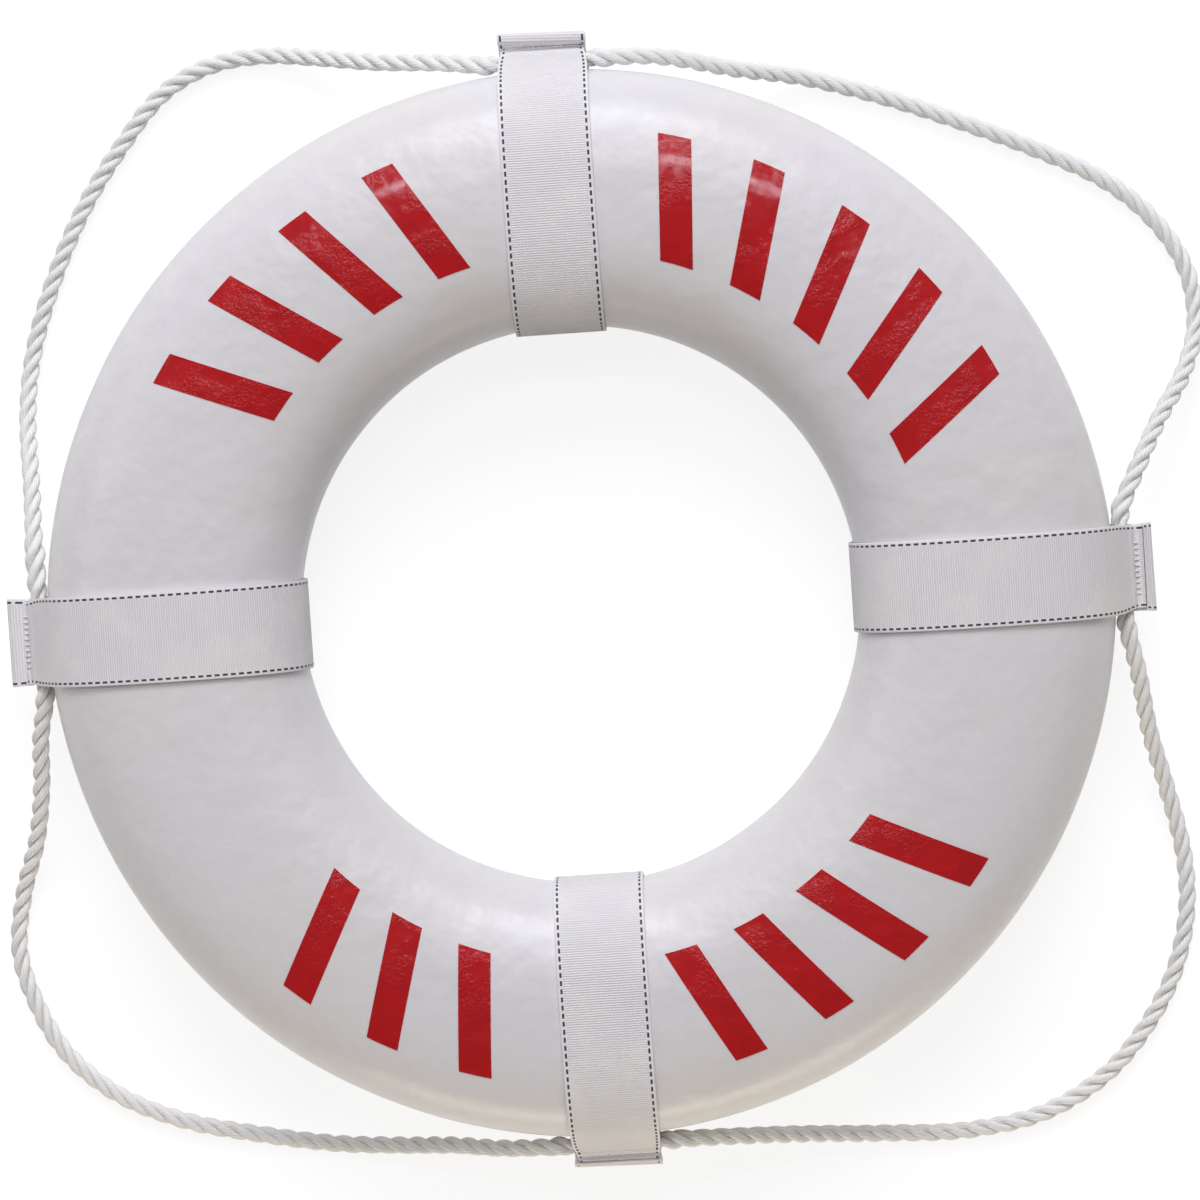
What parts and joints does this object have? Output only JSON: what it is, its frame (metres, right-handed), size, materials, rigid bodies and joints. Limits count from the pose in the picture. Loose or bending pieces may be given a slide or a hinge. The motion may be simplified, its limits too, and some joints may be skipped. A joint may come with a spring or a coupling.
{
  "type": "life ring",
  "caption": "Foam life ring in a white vinyl cover, with webbing straps that hold a rope grab line in free loops round the outside.",
  "frame": {"origin": "centre of the ring at the level of the straps' undersides, on which it lies", "axes": "+Z along the ring's axis, up from the floor; +Y towards the top strap and +X towards the right strap of the picture"},
  "size_m": [0.7168, 0.6609, 0.1048],
  "materials": {
    "foam": "closed-cell foam, cut",
    "white_vinyl": "satin vinyl skin",
    "white_webbing": "woven 2-inch webbing with dark tracer yarns near its edges",
    "white_thread": "sewing thread",
    "white_rope": "three-strand laid rope",
    "red_vinyl": "glossy adhesive film"
  },
  "bodies": {
    "ring": {"foam_core_upper": "foam", "foam_core_lower": "foam", "cover_upper": "white_vinyl", "cover_lower": "white_vinyl", "strap_top": "white_webbing", "strap_right": "white_webbing", "strap_bottom": "white_webbing", "strap_left": "white_webbing", "stitching_upper_top": "white_thread", "stitching_upper_right": "white_thread", "stitching_upper_bottom": "white_thread", "stitching_upper_left": "white_thread", "stitching_lower_top": "white_thread", "stitching_lower_right": "white_thread", "stitching_lower_bottom": "white_thread", "stitching_lower_left": "white_thread", "grab_line_in_strap_top": "white_rope", "grab_line_in_strap_right": "white_rope", "grab_line_in_strap_bottom": "white_rope", "grab_line_in_strap_left": "white_rope", "mark_upper_left_1": "red_vinyl", "mark_upper_left_2": "red_vinyl", "mark_upper_left_3": "red_vinyl", "mark_upper_left_4": "red_vinyl", "mark_upper_right_1": "red_vinyl", "mark_upper_right_2": "red_vinyl", "mark_upper_right_3": "red_vinyl", "mark_upper_right_4": "red_vinyl", "mark_upper_right_5": "red_vinyl", "mark_lower_left_1": "red_vinyl", "mark_lower_left_2": "red_vinyl", "mark_lower_left_3": "red_vinyl", "mark_lower_right_1": "red_vinyl", "mark_lower_right_2": "red_vinyl", "mark_lower_right_3": "red_vinyl", "mark_lower_right_4": "red_vinyl"},
    "bight_upper_left": {"grab_line_upper_left": "white_rope"},
    "bight_upper_right": {"grab_line_upper_right": "white_rope"},
    "bight_lower_right": {"grab_line_lower_right": "white_rope"},
    "bight_lower_left": {"grab_line_lower_left": "white_rope"}
  },
  "joints": [
    {"name": "upper_left_bight_lift", "type": "hinge", "parent": "ring", "child": "bight_upper_left", "pos_m": [-0.17067, 0.17067, 0.0524], "axis": [0.7071, 0.7071, 0], "range_deg": [0, 80]},
    {"name": "upper_right_bight_lift", "type": "hinge", "parent": "ring", "child": "bight_upper_right", "pos_m": [0.17067, 0.17067, 0.0524], "axis": [0.7071, -0.7071, 0], "range_deg": [0, 80]},
    {"name": "lower_right_bight_lift", "type": "hinge", "parent": "ring", "child": "bight_lower_right", "pos_m": [0.17067, -0.17067, 0.0524], "axis": [-0.7071, -0.7071, 0], "range_deg": [0, 80]},
    {"name": "lower_left_bight_lift", "type": "hinge", "parent": "ring", "child": "bight_lower_left", "pos_m": [-0.17067, -0.17067, 0.0524], "axis": [-0.7071, 0.7071, 0], "range_deg": [0, 80]}
  ]
}
